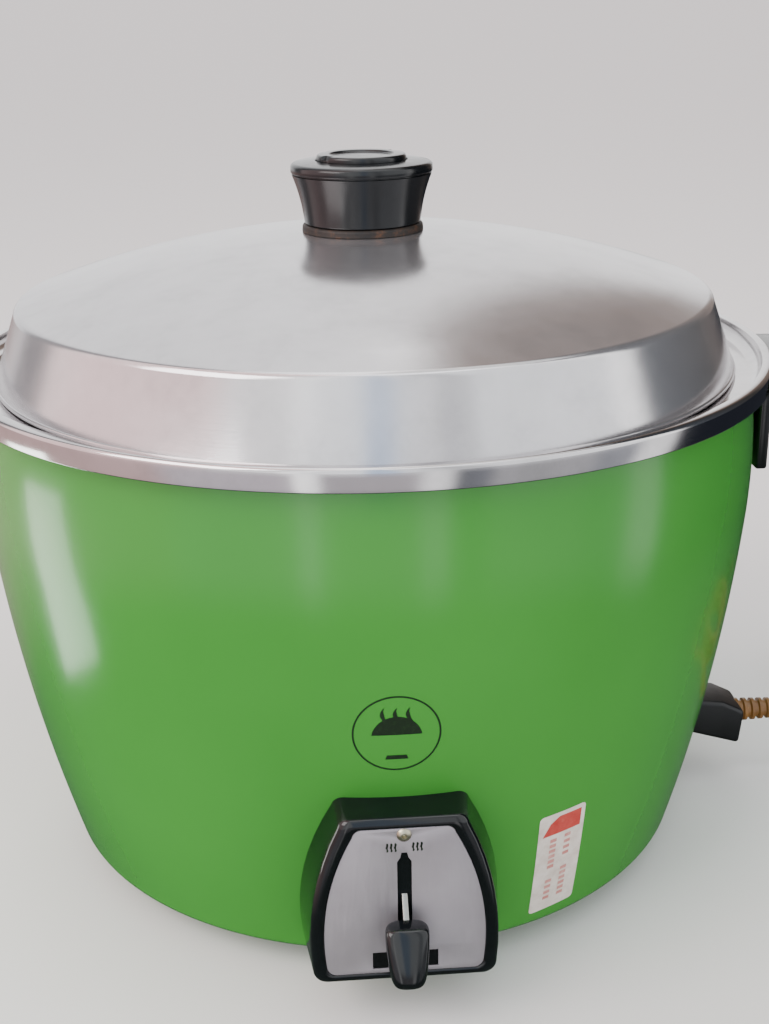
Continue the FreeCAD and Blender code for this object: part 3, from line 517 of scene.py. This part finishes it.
def knob():
    """Waisted knob with a rounded top rim, and its dished cap with two notches."""
    low, high = mm_box("lid_knob")
    wide, top, foot, cap = high.x, high.z, 21.4, 16.8
    spun("knob_turned", [
        (0.0, low.z), (foot - 0.8, low.z), (foot, low.z + 0.8, 0.8), (wide - 0.3, top - 4.9, -62.0),
        (wide - 0.8, top - 4.7), (wide - 0.8, top - 4.4), (wide - 0.1, top - 4.1, 0.6), (wide, top - 3.6),
        (wide, top - 1.9), (wide - 1.5, top - 0.8, 2.0), (cap + 0.5, top - 0.05), (cap, top - 0.5, 0.5),
        (cap, top - 2.0), (0.0, top - 2.0),
    ], "bakelite", "lid", ("lid_knob",), steps=128, closed=False, arc_steps=8)
    cap_low, cap_high = mm_box("knob_cap")
    peak, edge = cap_high.z, cap_high.x
    mesh = spun_mesh([
        (0.0, cap_low.z), (edge - 0.05, cap_low.z), (edge - 0.05, peak - 1.4), (edge - 0.05, peak - 1.0),
        (edge - 1.0, peak - 0.05, 1.0), (edge - 2.4, peak), (12.4, peak), (11.6, peak - 0.4, 0.9),
        (10.8, peak - 0.8, -0.9), (0.0, peak - 0.8),
    ], 180)
    notch_azimuth, notch_half_angle, notch_reach, notch_depth = 33.0, 8.5, 2.2, 1.4
    for vert in mesh.verts:
        across = math.degrees(math.atan2(vert.co.y, vert.co.x)) - notch_azimuth
        off_axis = abs((across + 90.0) % 180.0 - 90.0)
        if off_axis < notch_half_angle and vert.co.xy.length > (edge - notch_reach) * MM:
            vert.co.z = min(vert.co.z, (peak - notch_depth) * MM)
    finish_piece(mesh, "knob_cap_turned", "bakelite", "lid", ("knob_cap",))


def pot():
    """Straight pot with a rounded foot and a rolled lip."""
    low, high = mm_box("inner_pot")
    lip, rim, floor = high.x, high.z, low.z
    side = lip - 5.0
    spun("pot_spun", [
        (0.0, floor), (side - 11.0, floor), (side - 1.2, floor + 10.0, 10.0), (side, rim - 2.2),
        (side + 1.0, rim - 1.2, -1.0), (lip - 0.6, rim - 1.2), (lip, rim - 0.6, 0.6), (lip - 0.6, rim, 0.6),
        (side + 0.4, rim), (side - 1.0, rim - 1.6, 1.6), (side - 2.2, floor + 10.0),
        (side - 11.0, floor + 1.0, -9.0), (0.0, floor + 1.0),
    ], "pot_steel", "pot", ("inner_pot",), steps=192, closed=False, arc_steps=6)


# ------------------------------------------------------------------ control panel

FRONT = mm_box("control_housing")[0].y
FASCIA_FRONT = mm_box("fascia_plate")[0].y
DRAFT = 4.2 / 37.0


def symmetric(right_side, steps):
    """A closed left-right symmetric outline from its right half, listed from bottom to top."""
    right = outline_points(right_side, steps)
    return right + [(-x, z) for x, z in reversed(right)]


def panel_loop(grow, steps=8):
    """The panel's face outline, grown outwards; its sides bulge."""
    low, high = 19.7 - grow, 79.8 + grow
    wide, narrow = 29.6 + grow, 19.8 + grow
    return symmetric([(wide - 4.0, low), (wide, low + 4.0, 4.2), (narrow + 0.6, high - 3.0, 100.0 + grow),
                      (narrow - 3.0, high, 3.8)], steps)


def fascia_loop(grow, steps=8):
    """The fascia plate's outline, grown outwards."""
    low, high = 22.8 - grow, 76.6 + grow
    wide, narrow = 25.3 + grow, 16.3 + grow
    return symmetric([(wide - 3.0, low), (wide, low + 3.0, 3.2), (narrow, high - 2.6, 80.0 + grow),
                      (narrow - 3.0, high, 3.2)], steps)


def loop_at(mesh, points, depth):
    """A closed loop of edges at a depth; depth is one number or a function of (x, z)."""
    place = depth if callable(depth) else (lambda x, z: depth)
    verts = [mesh.verts.new((x * MM, place(x, z) * MM, z * MM)) for x, z in points]
    return [mesh.edges.new((verts[i], verts[(i + 1) % len(verts)])) for i in range(len(verts))]


def on_drum(x, z, proud=0.0):
    """Depth of the drum's outside behind a point of its front."""
    reach = drum_radius(z) + proud
    return -math.sqrt(max(reach * reach - x * x, 0.0))


def drafted_points():
    """The hood's outline where its sloping sides meet the drum."""
    points = []
    for (x_0, z_0), (x_1, z_1) in zip(panel_loop(0.0), panel_loop(1.0)):
        grow = 0.0
        for _ in range(5):
            x, z = x_0 + (x_1 - x_0) * grow, z_0 + (z_1 - z_0) * grow
            grow = DRAFT * (on_drum(x, max(z, 14.0)) - FRONT)
        points.append((x, z))
    return points


def housing():
    """Glossy moulded hood: rounded face with a sunk seat for the fascia, flared back to the drum."""
    mesh = bmesh.new()
    rings = [loop_at(mesh, fascia_loop(0.15), FRONT + 1.4), loop_at(mesh, fascia_loop(0.15), FRONT + 0.35),
             loop_at(mesh, fascia_loop(0.5), FRONT)]
    edge = 2.2
    for turn in range(6):
        angle = math.radians(18.0 * turn)
        back = edge * (1 - math.cos(angle))
        rings.append(loop_at(mesh, panel_loop(DRAFT * back - edge * (1 - math.sin(angle))), FRONT + back))
    rings.append(loop_at(mesh, panel_loop(DRAFT * 5.5), FRONT + 5.5))
    rings.append(loop_at(mesh, drafted_points(), lambda x, z: on_drum(x, max(z, 14.0))))
    for outer, inner in zip(rings, rings[1:]):
        bmesh.ops.bridge_loops(mesh, edges=outer + inner)
    bmesh.ops.contextual_create(mesh, geom=rings[0])
    bmesh.ops.contextual_create(mesh, geom=rings[-1])
    finish_piece(mesh, "panel_hood", "gloss_bakelite", "cooker", ("control_housing",), 50.0)


def fascia_screw():
    """Domed screw with a small round dimple, spun and then laid along Y."""
    low, high = mm_box("fascia_screw")
    centre = (low + high) / 2
    head, shank = 2.35, 1.35
    mesh = spun_mesh([
        (0.0, 0.6), (0.45, 0.2), (0.75, 1.05), (1.1, 1.1), (head, 0.1, -2.3), (head - 0.05, -0.1),
        (shank, -0.1), (shank, -6.0), (0.0, -6.0),
    ], 48)
    turn = Matrix.Translation((centre.x * MM, (FRONT + 0.4) * MM, centre.z * MM))
    bmesh.ops.transform(mesh, matrix=turn @ Matrix.Rotation(math.radians(90), 4, "X"), verts=mesh.verts)
    finish_piece(mesh, "fascia_screw_domed", "brass_screw", "cooker", ("fascia_screw",))


def lever_knob():
    """Tongue-shaped finger grip: four rounded sections skinned and smoothed."""
    mesh = bmesh.new()
    sections = [(26.6, 4.1, -162.6, -155.2), (28.2, 5.4, -164.6, -153.7), (30.5, 6.2, -165.0, -152.8),
                (38.0, 7.1, -162.4, -151.5), (44.2, 7.3, -160.1, -151.3), (46.1, 6.4, -157.9, -151.5)]
    loops = []
    for height, half, front, back in sections:
        round_off = min(half, (back - front) / 2) * 0.42
        ring = [(half, back), (half, front + round_off), (half - round_off, front),
                (-half + round_off, front), (-half, front + round_off), (-half, back)]
        verts = [mesh.verts.new((x * MM, y * MM, height * MM)) for x, y in ring]
        loops.append([mesh.edges.new((verts[i], verts[(i + 1) % 6])) for i in range(6)])
    for lower, upper in zip(loops, loops[1:]):
        bmesh.ops.bridge_loops(mesh, edges=lower + upper)
    for end in (loops[0], loops[-1]):
        bmesh.ops.contextual_create(mesh, geom=end)
    piece = finish_piece(mesh, "lever_grip", "gloss_bakelite", "lever", ("lever_knob",), 80.0)
    smooth = piece.modifiers.new("smooth", "SUBSURF")
    smooth.levels = smooth.render_levels = 3


# ------------------------------------------------------------------ print and label on the drum


def wrap_on_drum(mesh, azimuth, proud):
    """Bend a flat drawing (x, z in metres) round the drum at an azimuth from the front."""
    for vert in mesh.verts:
        height = vert.co.z / MM
        reach = (drum_radius(height) + proud) * MM
        angle = vert.co.x / reach + azimuth
        vert.co = Vector((reach * math.sin(angle), -reach * math.cos(angle) - vert.co.y, vert.co.z))


def add_patch(mesh, points, centre):
    """A filled flat outline, moved to its centre."""
    verts = [mesh.verts.new(((x + centre[0]) * MM, 0.0, (z + centre[1]) * MM)) for x, z in points]
    mesh.faces.new(verts)


def ring_patch(mesh, outer, inner, centre, steps=96):
    """A flat ring between two radii."""
    loops = []
    for radius in (outer, inner):
        verts = [mesh.verts.new(((radius * math.cos(a) + centre[0]) * MM, 0.0,
                                 (radius * math.sin(a) + centre[1]) * MM))
                 for a in (2 * math.pi * i / steps for i in range(steps))]
        loops.append([mesh.edges.new((verts[i], verts[(i + 1) % steps])) for i in range(steps)])
    bmesh.ops.bridge_loops(mesh, edges=loops[0] + loops[1])


def emblem():
    """Plain printed badge: a thin ring round a rice bowl with three wisps of steam."""
    low, high = mm_box("emblem_print")
    centre = ((low.x + high.x) / 2, (low.z + high.z) / 2)
    radius = (high.x - low.x) / 2
    mesh = bmesh.new()
    ring_patch(mesh, radius - 0.05, radius - 0.6, centre)
    bowl = [(7.9, -0.4)] + list(arc((7.9, -0.4), (-7.9, -0.4), 8.0, 28))
    add_patch(mesh, bowl, centre)
    add_patch(mesh, [(-3.6, -9.6), (3.6, -9.6), (3.1, -8.1), (-3.1, -8.1)], centre)
    for x in (-4.0, 0.0, 4.0):
        left, right = [], []
        for step in range(25):
            share = step / 24
            swing, width = 0.75 * math.sin(share * 2 * math.pi), 0.1 + 0.5 * math.sin(share * math.pi)
            left.append((x + swing - width, 1.3 + 8.2 * share))
            right.append((x + swing + width, 1.3 + 8.2 * share))
        add_patch(mesh, left + right[::-1], centre)
    bmesh.ops.triangulate(mesh, faces=[f for f in mesh.faces if len(f.verts) > 4])
    bmesh.ops.subdivide_edges(mesh, edges=[e for e in mesh.edges if e.calc_length() > 0.003], cuts=3)
    wrap_on_drum(mesh, 0.0, 0.09)
    finish_piece(mesh, "emblem_badge", "emblem_ink", "cooker", ("emblem_print",), 80.0)


def warm_marks():
    """Plain wavy heat marks printed on the fascia on both sides of the slot's top."""
    mesh = bmesh.new()
    for x in (-5.4, -4.1, -2.8, 2.8, 4.1, 5.4):
        left, right = [], []
        for step in range(17):
            swing = 0.28 * math.sin(step / 16 * 3 * math.pi)
            left.append((x + swing - 0.2, 68.2 + 3.2 * step / 16))
            right.append((x + swing + 0.2, 68.2 + 3.2 * step / 16))
        add_patch(mesh, left + right[::-1], (0.0, 0.0))
    bmesh.ops.triangulate(mesh, faces=mesh.faces[:])
    bmesh.ops.translate(mesh, vec=(0.0, (FASCIA_FRONT - 0.04) * MM, 0.0), verts=mesh.verts)
    finish_piece(mesh, "fascia_marks", "emblem_ink", "cooker", (), 80.0)


def label_patch(name, outlines, centre, proud, ink=None):
    """Flat outlines on the label, turned with it and wrapped on the drum."""
    azimuth, height = centre
    mesh = bmesh.new()
    turn = Matrix.Rotation(math.radians(4.0), 2)
    for points in outlines:
        add_patch(mesh, [tuple(turn @ Vector(point)) for point in points], (0.0, height))
    bmesh.ops.triangulate(mesh, faces=mesh.faces[:])
    for _ in range(2):
        bmesh.ops.subdivide_edges(mesh, edges=[e for e in mesh.edges if e.calc_length() > 0.004], cuts=2)
        bmesh.ops.triangulate(mesh, faces=mesh.faces[:])
    wrap_on_drum(mesh, math.radians(azimuth), proud)
    piece = finish_piece(mesh, name, "label_paper", "cooker", () if ink else ("blank_label",), 80.0)
    if ink:
        piece.data.materials[0] = ink
    return piece


def label():
    """Blank adhesive label: rounded corners, a plain red head and two columns of faded red bars."""
    centre = (25.3, 39.8)
    half, tall, corner = 9.3, 22.8, 1.6
    sheet = outline_points([(half - corner, -tall), (half, -tall + corner, corner), (half, tall - corner),
                            (half - corner, tall, corner), (-half + corner, tall),
                            (-half, tall - corner, corner), (-half, -tall + corner),
                            (-half + corner, -tall, corner)], 5)
    label_patch("label_sheet", [sheet], centre, 0.08)
    head = [(-7.6, 13.3), (7.6, 13.3), (7.6, 20.9), (-1.4, 21.0), (-4.8, 18.6)]
    label_patch("label_head", [head], centre, 0.12, LABEL_RED)
    bars = []
    spacing, bar, half_bar = 2.6, 1.5, 1.3
    columns = [(-3.0, 11.2, -3.4), (-3.0, -8.0, -18.8), (2.8, 11.6, 0.4), (2.8, -3.8, -18.8)]
    for middle, top, bottom in columns:
        count = round((top - bottom) / spacing)
        for index in range(count):
            high = top - (top - bottom) * index / count
            bars.append([(middle - half_bar, high - bar), (middle + half_bar, high - bar),
                         (middle + half_bar, high), (middle - half_bar, high)])
    label_patch("label_bars", bars, centre, 0.12, FADED_BARS)


# ------------------------------------------------------------------ connector and cord

CORD_ROUTE = [(185.0, 0.0, 29.0), (204.0, 0.5, 27.5), (222.0, -2.0, 18.0), (240.0, -4.5, 8.0),
              (258.0, -2.0, 3.6), (273.0, 8.0, 3.3), (282.0, 24.0, 3.3), (285.6, 43.0, 3.3)]
TAIL_ROUTE = [(285.4, 75.0, 14.0), (284.4, 88.0, 10.4), (284.0, 100.0, 9.0)]
CORD_RADIUS = 3.1
COIL_CENTRE = (250.0, 62.0)
TURNS = [(35.3, 3.3), (28.9, 3.3), (28.9, 9.6), (35.3, 9.6), (35.3, 15.9)]
POINTS_PER_TURN = 16


def coil_points():
    """Five turns laid beside and on each other; each turn eases over to the next one's place."""
    ease = 3    # the last points of a turn, over which it moves across
    points = []
    for turn, (radius, height) in enumerate(TURNS):
        following = TURNS[min(turn + 1, len(TURNS) - 1)]
        for step in range(POINTS_PER_TURN):
            share = max(0.0, (step - (POINTS_PER_TURN - ease)) / ease)
            r = radius + (following[0] - radius) * share
            z = height + (following[1] - height) * share
            angle = 2 * math.pi * step / POINTS_PER_TURN
            points.append((COIL_CENTRE[0] + r * math.cos(angle), COIL_CENTRE[1] + r * math.sin(angle), z))
    last = TURNS[-1]
    points.append((COIL_CENTRE[0] + last[0], COIL_CENTRE[1], last[1]))
    return points


def cord():
    points = CORD_ROUTE + coil_points() + TAIL_ROUTE
    data = bpy.data.curves.new("mains_flex", "CURVE")
    data.dimensions = "3D"
    data.bevel_depth = CORD_RADIUS * MM
    data.bevel_resolution = 5
    data.resolution_u = 8
    data.use_fill_caps = True
    line = data.splines.new("NURBS")
    line.points.add(len(points) - 1)
    for point, place in zip(line.points, points):
        point.co = (*(c * MM for c in place), 1.0)
    line.order_u = 3
    line.use_endpoint_u = True
    flex = bpy.data.objects.new("mains_flex", data)
    bpy.context.collection.objects.link(flex)
    data.materials.append(MATERIALS["cord_brown"])
    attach(flex, "cord_set")
    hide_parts("cord_lead", "cord_tail", "cord_coil")
    return flex


def grip():
    """Moulded connector: a nose that fills the inlet and a sloping finger grip."""
    mesh = bmesh.new()
    prism(mesh, [(116.5, 20.0), (134.0, 20.0), (134.0, 31.2), (116.5, 31.2)], -8.6, 8.6, "Y", 0.6)
    prism(mesh, [(132.0, 24.6), (154.6, 17.8), (156.2, 33.0), (147.0, 37.6), (132.0, 39.6)], -10.0, 10.0, "Y",
          1.8, 4)
    return finish_piece(mesh, "connector_grip", "connector_rubber", "cord_set", ("connector_body",), 40.0)


def handle(side):
    """Upright plate on two bosses, with a shelf and a turned-down lip."""
    name = "handle_right" if side > 0 else "handle_left"
    half = 26.0
    mesh = bmesh.new()
    prism(mesh, [(-half, 146.4), (half, 146.4), (half, 186.9), (-half, 186.9)], 146.4, 151.0, "X", 1.2)
    shelf = outline_points([(147.0, -half), (162.0, -half), (174.0, -14.0, 12.2), (174.0, 14.0),
                            (162.0, half, 12.2), (147.0, half)], 10)
    prism(mesh, shelf, 182.5, 187.0, "Z", 1.3)
    lip = outline_points([(-20.0, 174.0), (-15.0, 169.0, 5.2), (15.0, 169.0), (20.0, 174.0, 5.2),
                          (20.0, 184.5), (-20.0, 184.5)], 6)
    prism(mesh, lip, 169.5, 173.9, "X", 1.3)
    boss = 5.0
    for y in (-16.0, 16.0):
        round_boss = [(y + boss * math.cos(a), 174.0 + boss * math.sin(a))
                      for a in (2 * math.pi * i / 32 for i in range(32))]
        prism(mesh, round_boss, 142.4, 147.4, "X", 0.3, 1)
    if side < 0:
        bmesh.ops.scale(mesh, vec=(-1.0, 1.0, 1.0), verts=mesh.verts)
    finish_piece(mesh, name + "_moulded", "bakelite", "cooker", (name,), 40.0)


def relief():
    """Tapered ribbed strain relief, spun round its own axis and laid along +X."""
    low, high = mm_box("cord_relief")
    length = high.x - low.x
    corners = [(0.0, 0.0), (4.9, 0.0), (4.9, 3.0)]
    ribs = 8
    for rib in range(ribs):
        start = 3.6 + rib * (length - 5.0) / ribs
        outer = 4.8 - 1.0 * rib / ribs
        corners += [(outer - 1.0, start), (outer - 1.0, start + 1.2), (outer, start + 1.7),
                    (outer, start + 3.0)]
    corners += [(3.5, length - 0.6), (3.2, length), (0.0, length)]
    mesh = spun_mesh(corners, 40)
    place = Matrix.Translation((low.x * MM, 0.0, (low.z + high.z) / 2 * MM))
    bmesh.ops.transform(mesh, matrix=place @ Matrix.Rotation(math.radians(90), 4, "Y"), verts=mesh.verts)
    return finish_piece(mesh, "relief_ribbed", "cord_brown", "cord_set", ("cord_relief",), 40.0)


# ------------------------------------------------------------------ room and studio


def at_azimuth(degrees):
    """Place along the room's ramps of a direction, counted from the panel's side towards +X."""
    return degrees / 360.0 + 0.5


# Tones seen round the room by azimuth in degrees: above the horizon, then below it.
ROOM_WALL = [(-180, "#DEDEDF"), (-142, "#C8C8CA"), (-134, "#5A5B5E"), (-119, "#6A6768"), (-114, "#E6CFCD"),
             (-98, "#E2C2C1"), (-50, "#D9BDBC"), (-44, "#D6D4D5"), (-27, "#D8D8D9"), (-25, "#FFFFFF"),
             (-20, "#F4F6F8"), (-18, "#E0E2E4"), (-5, "#DCE0E4"), (-3, "#9FB0C8"), (4, "#A6B5CB"),
             (6, "#CDD0D3"), (16, "#CFD0D2"), (19, "#ABACB0"), (27, "#AFB1B4"), (31, "#D2D5D8"),
             (74, "#DADCDF"), (77, "#FFFFFF"), (85, "#FFFFFF"), (88, "#30353B"), (125, "#2A2928"),
             (150, "#6A5D56"), (156, "#DCDBDB"), (180, "#DEDEDF")]
ROOM_LOW = [(-180, "#6A6260"), (-120, "#A08684"), (-62, "#A48D8D"), (-55, "#A09AA0"), (-24, "#A09AA0"),
            (-21, "#FFFFFF"), (-17, "#F0F0F2"), (-15, "#8E8A8E"), (9, "#8E8A8E"), (12, "#E0E0E2"),
            (17, "#D8D8DA"), (20, "#55575C"), (27, "#606268"), (31, "#87878A"), (56, "#87878A"),
            (60, "#74767C"), (70, "#7A7C82"), (75, "#D8D8DA"), (83, "#D8D8DA"), (87, "#15181E"),
            (180, "#1A1B1F")]


def room(tree):
    """A room seen only in reflections: bands round the horizon, a dark doorway behind to the right."""
    split = add(tree, "SeparateXYZ", {"Vector": add(tree, "TexCoord").outputs["Generated"]})
    forward = add(tree, "Math", {0: split.outputs["Y"], 1: -1.0}, operation="MULTIPLY")
    azimuth = add(tree, "Math", {0: split.outputs["X"], 1: forward.outputs[0]},
                  operation="ARCTAN2").outputs[0]
    height = add(tree, "Math", {0: split.outputs["Z"]}, operation="ARCSINE").outputs[0]
    turn = math.radians
    lean = remap(tree, height, turn(9.7), turn(42.0), 0.0, turn(16.5))
    behind = remap(tree, azimuth, turn(100.0), turn(145.0), 0.0, 1.0)
    shift = add(tree, "Math", {0: lean, 1: behind}, operation="MULTIPLY")
    leaning = add(tree, "Math", {0: azimuth, 1: shift.outputs[0]}, operation="SUBTRACT").outputs[0]
    wall = ramp(tree, remap(tree, leaning, -math.pi, math.pi, 0.0, 1.0),
                *[(at_azimuth(a), colour) for a, colour in ROOM_WALL])
    low = ramp(tree, remap(tree, azimuth, -math.pi, math.pi, 0.0, 1.0),
               *[(at_azimuth(a), colour) for a, colour in ROOM_LOW])
    near_floor = remap(tree, height, turn(-30.0), turn(-21.0), 0.0, 1.0)
    shade_below = mixed(tree, near_floor, linear("#39403A"), low)
    return mixed(tree, remap(tree, height, turn(-9.0), turn(-3.0), 0.0, 1.0), shade_below, wall)


def studio():
    """Pale floor, soft light from the left and above, and a room seen in the bright metal."""
    mesh = bmesh.new()
    bmesh.ops.create_grid(mesh, x_segments=1, y_segments=1, size=300.0)
    data = bpy.data.meshes.new("floor")
    mesh.to_mesh(data)
    mesh.free()
    floor = bpy.data.objects.new("floor", data)
    bpy.context.collection.objects.link(floor)
    data.materials.append(material("matt_floor_paint", "#F4F2F0", 0.8)[0])
    floor.visible_glossy = False
    add_light("window_left", (-1.1, -0.7, 1.1), (0.0, 0.0, 0.12), (1.0, 1.0), 17.0, (1.0, 0.98, 0.96))
    add_light("ceiling_soft", (0.2, 0.2, 1.8), (0.0, 0.0, 0.1), (1.4, 1.4), 8.0)
    add_light("low_left_panel", (-0.36, -0.02, 0.03), (-0.1, -0.09, 0.14), (0.10, 0.16), 0.25,
              (0.93, 1.0, 0.93))
    world = bpy.data.worlds.new("room")
    bpy.context.scene.world = world
    world.use_nodes = True
    tree = world.node_tree
    background = tree.nodes["Background"]
    tree.links.new(room(tree), background.inputs["Color"])
    background.inputs["Strength"].default_value = 2.4


def assign_cad_materials():
    """Every CAD node that stays visible gets the finish of its record slot."""
    for entry in frame["record"]["subparts"]:
        data = frame["nodes"][entry["node"]].data
        data.materials.clear()
        data.materials.append(MATERIALS[entry["material_slot"]])


# ------------------------------------------------------------------ the whole scene


def build():
    add_camera()
    assign_cad_materials()
    flex = cord()
    strain = relief()
    connector = grip()
    plug = softened("plug_body", 1.6, "connector_rubber", "cord_set")
    drum()
    rim()
    well()
    lid()
    knob()
    pot()
    housing()
    fascia_screw()
    lever_knob()
    emblem()
    warm_marks()
    label()
    for side in (1, -1):
        handle(side)
    softened("fascia_plate", 0.2, "satin_plate", "cooker", 2)
    softened("inlet_block", 0.5, "switch_phenolic", "cooker", 2)
    softened("lever_arm", 0.3, "plated_lever", "lever", 2)
    studio()


build()
